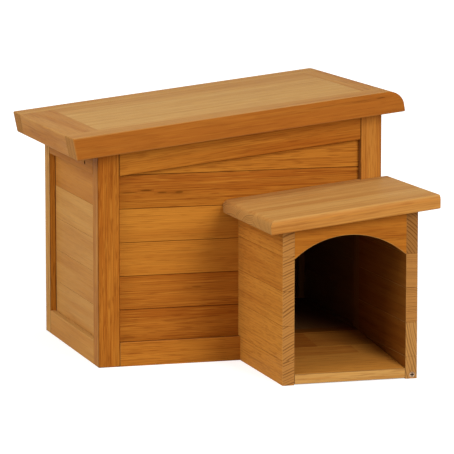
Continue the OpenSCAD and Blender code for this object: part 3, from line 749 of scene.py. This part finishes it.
class HEDGEHOG_OT_house_frame(bpy.types.Operator):
    """Dress the corner posts and the rails between them"""

    bl_idname = "hedgehog.house_frame"
    bl_label = "House frame"
    # Depth of colour and paleness of the front of the posts, and how much paler the rear ones are
    posts = {"left": (0.4, 0.0), "right": (0.05, 0.1)}
    rear_paling = 0.75
    # Painted shade on the posts' faces close behind their outer faces
    post_recess_dirt = 0.03
    post_run = 1.4
    # A small hole's wall is told by how far its faces slant, its faces lie within this many hole radii, and
    # painted shade darkens it this much
    hole_slant = 0.02
    hole_margin = 1.2
    hole_shade = 0.97

    def execute(self, context):
        easing = context.scene.hedgehog_timber.frame_arris
        finish = oiled("Oiled frame timber")
        for face in ("front", "rear"):
            for hand in self.posts:
                self.post(face, hand, easing)
            # Rails: painted shade on the faces behind the outer face, and on the bottom rails a pale painted
            # highlight along the eased edges
            node = f"{face}_bottom_rail"
            darkening = shaded_inside(node, (face,))
            timber_piece(node, ACROSS, finish, easing, 0.15, arris=0.1, grime=darkening, shows=DEEP)
            node = f"{face}_top_rail"
            timber_piece(node, FALL, finish, easing, 0.15, grime=shaded_inside(node, (face,)), shows=DEEP)
        calm = oiled("Oiled side timber")
        for hand in ("left", "right"):
            # Side rails: painted sheen on the sides, painted light on the bottom rail's ledge top, pale painted
            # highlights on its edges, and painted shade inside and in the top rail's small hole
            node = f"{hand}_bottom_rail"
            darkening = shaded_inside(node, (hand,))
            timber_piece(node, DEEP, calm, easing, -0.1, facing_sheen(0.6, 0.3), 0.1, darkening, ACROSS)
            node = f"{hand}_top_rail"
            timber_piece(node, DEEP, calm, easing, 0.05, facing_sheen(0.0, 0.15), -0.3, self.bore(node), ACROSS)
        return {"FINISHED"}

    def post(self, face, hand, easing):
        node = f"{face}_{hand}_post"
        tone, pale = self.posts[hand]
        # The posts' eased corners are darkened as painted shade, their sides paled as painted sheen, and their
        # inner faces darkened as painted shade
        timber_piece(
            node,
            UPRIGHT,
            oiled(f"Oiled {hand} post timber"),
            easing,
            tone - self.rear_paling * (face == "rear"),
            facing_sheen(0.0, 0.45, pale),
            -0.7,
            shaded_inside(node, (face, hand), self.post_recess_dirt),
            run=self.post_run,
        )

    def bore(self, node):
        """Painted shade in a rail's small hole, whose wall alone turns away from both level and upright."""
        polygons = frame["nodes"][node].data.polygons
        walls = [p.center for p in polygons if abs(p.normal.y * p.normal.z) > self.hole_slant]
        if not walls:
            return 0.0
        centre = sum(walls, Vector()) / len(walls)
        reach = self.hole_margin * max((place - centre).yz.length for place in walls)

        def darkness(face):
            return self.hole_shade if all((v.co - centre).yz.length < reach for v in face.verts) else 0.0

        return darkness


class HEDGEHOG_OT_wall_boards(bpy.types.Operator):
    """Dress the tongue-and-groove boards of the four walls"""

    bl_idname = "hedgehog.wall_boards"
    bl_label = "Wall boards"
    # Depth of colour of the front boards from the lowest up, and the paler seams and calmer grain of some
    front_tones = (0.15, 0.2, -0.05, -0.2, 0.05, -0.3)
    front_seams = {"front_board_4": -0.25, "front_board_3": -0.25}
    calm_boards = ("front_board_4", "front_board_3")
    # Paleness of the side boards from the lowest up, painted sheen that is less on the upper boards as painted
    # shadow of the lid, and the depth of colour of a darker one under the lid, also painted shadow
    side_paleness = (0.52, 0.44, 0.48, 0.46, 0.2, 0.3)
    side_tones = {"left_board_5": 0.22}
    # Cracks: distances from a board's left end and lower edge, half length, half height and darkness
    cracks = {
        "front_board_5": (
            (0.023, 0.0218, 0.0135, 0.001, 0.55),
            (0.0466, 0.0239, 0.0105, 0.0011, 0.75),
            (0.0688, 0.0203, 0.0085, 0.001, 0.65),
            (0.093, 0.02, 0.0075, 0.0016, 0.6),
        ),
        "front_board_2": ((0.117, 0.0267, 0.009, 0.0016, 0.4),),
    }

    def execute(self, context):
        settings = context.scene.hedgehog_timber
        for side in OUTWARD:
            for node in sorted(n for n in frame["nodes"] if n.startswith(f"{side}_board_")):
                if side in ("front", "rear"):
                    self.long_board(node, settings)
                else:
                    self.side_board(node, settings)
        return {"FINISHED"}

    def long_board(self, node, settings):
        face, _, count = node.split("_")
        # Painted shade on the boards' inner faces
        timber_piece(
            node,
            ACROSS,
            oiled("Oiled calm boards" if node in self.calm_boards else "Oiled wall boards"),
            settings.board_arris,
            self.front_tones[int(count) - 1] if face == "front" else 0.0,
            arris=self.front_seams.get(node, -0.5),
            grime=shaded_inside(node, (face,), INNER_SHADE),
            shows=DEEP,
            cracks=placed_cracks(node, ACROSS, self.cracks.get(node, ())),
        )

    def side_board(self, node, settings):
        hand, _, count = node.split("_")
        # Painted sheen on the side boards, a pale painted highlight along their seams and painted shade inside
        timber_piece(
            node,
            DEEP,
            oiled("Oiled side timber"),
            settings.close_arris,
            self.side_tones.get(node, 0.0),
            facing_sheen(0.0, self.side_paleness[int(count) - 1]),
            0.1,
            shaded_inside(node, (hand,), INNER_SHADE),
            ACROSS,
            tones={(0, 0): 0.0},
        )


class HEDGEHOG_OT_inside(bpy.types.Operator):
    """Dress the floor, its bearers, the door jamb and the bearer under the ramp"""

    bl_idname = "hedgehog.inside"
    bl_label = "Inside timber"
    # Way of the grain and painted shade of each node
    pieces = {
        "floor_boards": (DEEP, 0.65),
        "floor_bearers": (ACROSS, 0.65),
        "door_jamb": (UPRIGHT, 0.93),
        "ramp_bearer": (ACROSS, 0.45),
    }

    def execute(self, context):
        easing = context.scene.hedgehog_timber.frame_arris
        for node, (grain, grime) in self.pieces.items():
            timber_piece(node, grain, bare(), easing, grime=grime)
        return {"FINISHED"}


class HEDGEHOG_OT_lid(bpy.types.Operator):
    """Dress the lid's rails, cleats and boards"""

    bl_idname = "hedgehog.lid"
    bl_label = "Lid"
    # How close an edge lies to the lid's sides, and to its leaning ends, to be part of the outline
    side_reach = 0.001
    end_reach = 0.0035
    # Depth of colour of the cleats
    cleats = {"left": 0.3, "right": 0.5}
    # Cracks: distances from a rail's left end and lower edge, half length, half height and darkness
    cracks = {
        "lid_front_rail": (
            (0.347, 0.0227, 0.03, 0.0007, 0.25),
            (0.404, 0.0228, 0.018, 0.0008, 0.4),
            (0.432, 0.0232, 0.008, 0.0011, 0.6),
        ),
    }

    def execute(self, context):
        settings = context.scene.hedgehog_timber
        finish = oiled("Oiled lid timber")
        # Painted sheen: the lid's tops, and less its sides, are pale
        board_paleness = facing_sheen(0.75, 0.45, 0.1)
        cleat_paleness = facing_sheen(0.62, 0.5, 0.1)
        rail_paleness = facing_sheen(0.66, 0.12, 0.08)
        ends = [FALL.dot(v.co) for n in LID_NODES for v in frame["nodes"][n].data.vertices]
        self.ends = min(ends), max(ends)
        self.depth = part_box("lid_front_rail")[0].y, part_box("lid_rear_rail")[1].y
        for place in ("front", "rear"):
            # The rails' front and rear faces take a deeper tone, and with the ends a darkening, as painted shade;
            # the eased outline takes a pale painted highlight
            node = f"lid_{place}_rail"
            timber_piece(
                node,
                FALL,
                finish,
                settings.roof_arris,
                lambda face: 0.15 + 0.4 * face.normal.y ** 2,
                rail_paleness,
                0.1,
                lambda face: 0.07 * (face.normal.x ** 2 + face.normal.y ** 2),
                UPRIGHT,
                cracks=placed_cracks(node, FALL, self.cracks.get(node, ())),
                chosen=self.outer_edge,
            )
        # Cleats: painted sheen, and a pale painted highlight along the outline
        for place, tone in self.cleats.items():
            timber_piece(
                f"lid_{place}_cleat",
                DEEP,
                finish,
                settings.roof_arris,
                tone,
                cleat_paleness,
                0.2,
                shows=UPRIGHT,
                chosen=self.outer_edge,
            )
        for node in (n for n in LID_NODES if n.startswith("lid_board_")):
            timber_piece(node, FALL, finish, settings.tight_arris, 0.0, board_paleness, -0.1, shows=UPRIGHT)
        return {"FINISHED"}

    def outer_edge(self, edge):
        """True along the lid's outline, where the ends lean a little over their thickness."""
        first, second = (v.co for v in edge.verts)
        way = (second - first).normalized()
        at_side = all(min(abs(co.y - y) for y in self.depth) < self.side_reach for co in (first, second))
        at_end = all(min(abs(FALL.dot(co) - u) for u in self.ends) < self.end_reach for co in (first, second))
        return at_side or (at_end and abs(way.y) > FACES)


class HEDGEHOG_OT_porch(bpy.types.Operator):
    """Dress the porch: walls, arched lintel, ramp and roof"""

    bl_idname = "hedgehog.porch"
    bl_label = "Porch"
    # Direction of the pith in degrees, its distance and the fineness of the rings, from the lowest board up
    left_piths = ((250, 0.2, 1.3), (245, 0.22, 1.3), (240, 0.16, 1.3), (248, 0.2, 1.3), (250, 0.25, 1.3))
    right_piths = (
        (161.2, 0.3169, 1.45),
        (168, 0.3068, 1.45),
        (88, 0.2, 2.5),
        (92, 0.22, 2.5),
        (312, 0.12, 1.2),
    )
    # Heights that part the lowest seam, the ends of the two lowest boards, the upper boards of the left wall
    # and the end of the right wall's top board from the rest
    low_seam = 0.05
    low_ends = 0.07
    upper_boards = 0.12
    top_end = 0.175
    # Most that an edge of the arch changes in depth
    arch_depth = 1e-4
    # Glue lines from front to back and butt joints from left to right, as shares of the ramp, with the tone
    # of each length, paler in front and deeper at the back as painted light and shade besides the pieces' own
    # tone, and the painted shade on each strip
    ramp_strips = (0.2, 0.44, 0.64)
    ramp_butts = {2: 0.77, 3: 0.47}
    ramp_tones = {(0, 0): -0.35, (1, 0): -0.4, (2, 0): 0.1, (2, 1): -0.3, (3, 0): 0.7, (3, 1): 0.1}
    ramp_shade = (0.0, 0.0, 0.0, 0.22)
    # Glue lines in the roof, as shares of its depth
    roof_strips = (0.37, 0.72)

    def execute(self, context):
        settings = context.scene.hedgehog_timber
        self.walls(settings)
        # Painted highlight: the arch's eased edges are pale
        timber_piece(
            "porch_lintel",
            ACROSS,
            oiled("Oiled lintel"),
            settings.board_arris,
            0.12,
            arris=0.5,
            shows=DEEP,
            chosen=self.arch_edge,
        )
        self.ramp(settings)
        self.roof(settings)
        return {"FINISHED"}

    def walls(self, settings):
        finish = oiled("Oiled fast grown timber", settings.porch_ring_pitch)
        # Left wall: upper boards deeper as painted shade, painted sheen on the sides, pale painted highlights
        # along upright edges and inner seams, and painted shade on the inner face
        timber_piece(
            "porch_left_wall",
            DEEP,
            finish,
            settings.tight_arris,
            self.left_tone,
            facing_sheen(0.0, 0.08),
            self.rubbed(ACROSS),
            piths=self.left_piths,
            grime=looking(ACROSS, 0.5),
            run=1.4,
        )
        # Right wall: pale painted highlights along upright edges and inner seams, and painted shade on the inner
        # face
        timber_piece(
            "porch_right_wall",
            DEEP,
            finish,
            settings.tight_arris,
            0.3,
            self.paled_end,
            self.rubbed(-ACROSS),
            piths=self.right_piths,
            grime=self.inside_shade_and_dark_end,
        )

    def rubbed(self, inward):
        """Painted highlights make the upright edges, the lowest seam in front and the other seams' inner edges
        pale, and the other seams are dark outside.
        """

        def colour(face):
            if abs(face.normal.z) < LEANS:
                return 0.35
            if face.normal.y < -LEANS and face.calc_center_median().z < self.low_seam:
                return 0.15
            return 0.6 if face.normal.dot(inward) > LEANS else -0.22

        return colour

    def left_tone(self, face):
        """Depth of colour of the left wall, whose upper boards are deeper as painted shade under the porch roof.
        """
        return -0.2 if face.calc_center_median().z > self.upper_boards else -0.6

    def paled_end(self, face):
        """Paleness of the right wall, most on the ends of its two lowest boards."""
        low = face.normal.y < -LOOKS and face.calc_center_median().z < self.low_ends
        return 0.3 if low else 0.08 * face.normal.x ** 2

    def inside_shade_and_dark_end(self, face):
        """Darkening of the right wall: painted shade inside, and a darker end on its top board."""
        if face.normal.x < -LOOKS:
            return 0.55
        return 0.35 if face.normal.y < -LOOKS and face.calc_center_median().z > self.top_end else 0.0

    def arch_edge(self, edge):
        """True along the two curves of the arch."""
        first, second = (v.co for v in edge.verts)
        under = any(f.normal.z < -LEANS for f in edge.link_faces)
        return under and abs(first.y - second.y) < self.arch_depth

    def ramp(self, settings):
        low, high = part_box("porch_ramp")
        strips = [low.y + (high.y - low.y) * part for part in self.ramp_strips]
        timber_piece(
            "porch_ramp",
            ACROSS,
            oiled("Oiled ramp timber"),
            settings.frame_arris,
            # Painted light: the ramp's front face is paler than its top
            bleach=lambda face: 0.5 if face.normal.y < -LEANS else 0.1,
            shows=UPRIGHT,
            strips=strips,
            butts={row: [low.x + (high.x - low.x) * part] for row, part in self.ramp_butts.items()},
            tones=self.ramp_tones,
            grime=lambda face: self.ramp_shade[strip_of(face, DEEP, strips)],
        )

    def roof(self, settings):
        low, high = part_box("porch_roof")
        timber_piece(
            # Painted sheen: the roof's top, sides and front are pale, the top most
            "porch_roof",
            FALL,
            oiled("Oiled lid timber"),
            settings.roof_arris,
            0.05,
            facing_sheen(0.75, 0.45, 0.3),
            0.0,
            strips=[low.y + (high.y - low.y) * part for part in self.roof_strips],
        )


class HEDGEHOG_OT_hardware(bpy.types.Operator):
    """Dress the hinges and the screws"""

    bl_idname = "hedgehog.hardware"
    bl_label = "Hinges and screws"

    def execute(self, context):
        for node in sorted(n for n, slot in SLOT_OF.items() if slot == "zinc_steel"):
            metal_piece(node)
        return {"FINISHED"}


class HEDGEHOG_OT_stage(bpy.types.Operator):
    """Set the pale floor, the soft light and the camera"""

    bl_idname = "hedgehog.stage"
    bl_label = "Studio"
    # Lamps: setting of the power, degrees to the right of the front, degrees up and width
    lamps = {
        "Front light": ("front_light", 16.0, 23.0, 0.9),
        "Side light": ("side_light", -76.0, 28.0, 2.0),
        "Top light": ("top_light", 0.0, 80.0, 1.6),
    }
    lamp_height = 1.6
    lamp_reach = 2.95
    lit_point = Vector((0.0, 0.0, 0.18))
    # Half the floor's width, its grey for light and for the eye, and the distances over which it turns white
    floor_half = 30.0
    floor_bounce = (0.55, 0.55, 0.55, 1.0)
    floor_shade = (0.6, 0.6, 0.6, 1.0)
    glow_start = 0.4
    glow_end = 2.5
    glow_least = 0.68
    white = (1.0, 1.0, 1.0, 1.0)
    sensor_width = 36.0
    view_reach = 100.0

    def execute(self, context):
        settings = context.scene.hedgehog_stage
        context.scene.view_settings.view_transform = "Standard"
        self.floor(context)
        self.sky(context, settings)
        for name, (setting, azimuth, height, width) in self.lamps.items():
            self.soft_light(context, name, azimuth, height, getattr(settings, setting), width)
        self.camera(context, settings)
        return {"FINISHED"}

    @staticmethod
    def seen_directly(tree):
        """1 for rays from the camera and for what metal or glass mirrors, 0 for light."""
        path = add_node(tree, "ShaderNodeLightPath").outputs
        seen = number(tree, "MAXIMUM", path["Is Camera Ray"], path["Is Glossy Ray"])
        return number(tree, "MAXIMUM", seen, path["Is Transmission Ray"])

    def floor(self, context):
        bm = bmesh.new()
        bmesh.ops.create_grid(bm, x_segments=1, y_segments=1, size=self.floor_half)
        mesh = bpy.data.meshes.new("studio_floor")
        bm.to_mesh(mesh)
        bm.free()
        material = bpy.data.materials.new("Studio floor")
        material.use_nodes = True
        tree = material.node_tree
        tree.nodes.clear()
        bounce = add_node(tree, "ShaderNodeBsdfDiffuse", {"Color": self.floor_bounce})
        shade = add_node(tree, "ShaderNodeBsdfDiffuse", {"Color": self.floor_shade})
        place = add_node(tree, "ShaderNodeTexCoord").outputs["Object"]
        away = add_node(tree, "ShaderNodeVectorMath", {0: place}, operation="LENGTH").outputs["Value"]
        strength = eased(tree, away, self.glow_start, self.glow_end, self.glow_least)
        glow = add_node(tree, "ShaderNodeEmission", {"Color": self.white, "Strength": strength})
        seen = add_node(tree, "ShaderNodeAddShader", {0: shade.outputs[0], 1: glow.outputs[0]})
        links = {0: self.seen_directly(tree), 1: bounce.outputs[0], 2: seen.outputs[0]}
        mixed = add_node(tree, "ShaderNodeMixShader", links)
        add_node(tree, "ShaderNodeOutputMaterial", {"Surface": mixed.outputs[0]})
        mesh.materials.append(material)
        floor = bpy.data.objects.new("studio_floor", mesh)
        context.scene.collection.objects.link(floor)

    def sky(self, context, settings):
        world = bpy.data.worlds.new("Studio")
        context.scene.world = world
        world.use_nodes = True
        tree = world.node_tree
        tree.nodes.clear()
        light = add_node(tree, "ShaderNodeBackground", {"Color": self.white, "Strength": settings.sky})
        bright = add_node(tree, "ShaderNodeBackground", {"Color": self.white, "Strength": 1.0})
        links = {0: self.seen_directly(tree), 1: light.outputs[0], 2: bright.outputs[0]}
        mixed = add_node(tree, "ShaderNodeMixShader", links)
        add_node(tree, "ShaderNodeOutputWorld", {"Surface": mixed.outputs[0]})

    def soft_light(self, context, name, azimuth, height, power, width):
        """A large soft lamp, azimuth degrees to the right of the front and height degrees up."""
        aside, up = math.radians(azimuth), math.radians(height)
        way = Vector((math.sin(aside) * math.cos(up), -math.cos(aside) * math.cos(up), math.sin(up)))
        lamp = bpy.data.lights.new(name, "AREA")
        lamp.shape = "RECTANGLE"
        lamp.size = width
        lamp.size_y = self.lamp_height
        lamp.energy = power
        light = bpy.data.objects.new(name, lamp)
        context.scene.collection.objects.link(light)
        light.location = self.lit_point + self.lamp_reach * way
        light.rotation_mode = "QUATERNION"
        light.rotation_quaternion = (-way).to_track_quat("-Z", "Y")
        light.visible_camera = False

    def camera(self, context, settings):
        lens = bpy.data.cameras.new("Camera")
        lens.lens = settings.lens
        lens.sensor_width = self.sensor_width
        lens.clip_end = self.view_reach
        camera = bpy.data.objects.new("Camera", lens)
        context.scene.collection.objects.link(camera)
        camera.location = settings.camera
        camera.rotation_mode = "QUATERNION"
        aim = Vector(settings.aim) - Vector(settings.camera)
        camera.rotation_quaternion = aim.to_track_quat("-Z", "Y")
        context.scene.camera = camera


class HEDGEHOG_PT_sidebar(bpy.types.Panel):
    """Lists the pieces and their settings"""

    bl_idname = "HEDGEHOG_PT_sidebar"
    bl_label = "Hedgehog House"
    bl_space_type = "VIEW_3D"
    bl_region_type = "UI"
    bl_category = "Hedgehog House"

    def draw(self, context):
        column = self.layout.column()
        for group in (
            context.scene.hedgehog_timber,
            context.scene.hedgehog_hardware,
            context.scene.hedgehog_stage,
        ):
            for name in group.__annotations__:
                column.prop(group, name)
        for operator in OPERATORS:
            column.operator(operator.bl_idname)


OPERATORS = (
    HEDGEHOG_OT_house_frame,
    HEDGEHOG_OT_wall_boards,
    HEDGEHOG_OT_inside,
    HEDGEHOG_OT_lid,
    HEDGEHOG_OT_porch,
    HEDGEHOG_OT_hardware,
    HEDGEHOG_OT_stage,
)
CLASSES = (HedgehogTimber, HedgehogHardware, HedgehogStage, *OPERATORS, HEDGEHOG_PT_sidebar)


def register():
    for cls in CLASSES:
        bpy.utils.register_class(cls)
    bpy.types.Scene.hedgehog_timber = bpy.props.PointerProperty(type=HedgehogTimber)
    bpy.types.Scene.hedgehog_hardware = bpy.props.PointerProperty(type=HedgehogHardware)
    bpy.types.Scene.hedgehog_stage = bpy.props.PointerProperty(type=HedgehogStage)


def unregister():
    del bpy.types.Scene.hedgehog_stage
    del bpy.types.Scene.hedgehog_hardware
    del bpy.types.Scene.hedgehog_timber
    for cls in reversed(CLASSES):
        bpy.utils.unregister_class(cls)


def main():
    register()
    bpy.ops.hedgehog.house_frame()
    bpy.ops.hedgehog.wall_boards()
    bpy.ops.hedgehog.inside()
    bpy.ops.hedgehog.lid()
    bpy.ops.hedgehog.porch()
    bpy.ops.hedgehog.hardware()
    bpy.ops.hedgehog.stage()


if __name__ == "__main__":
    main()
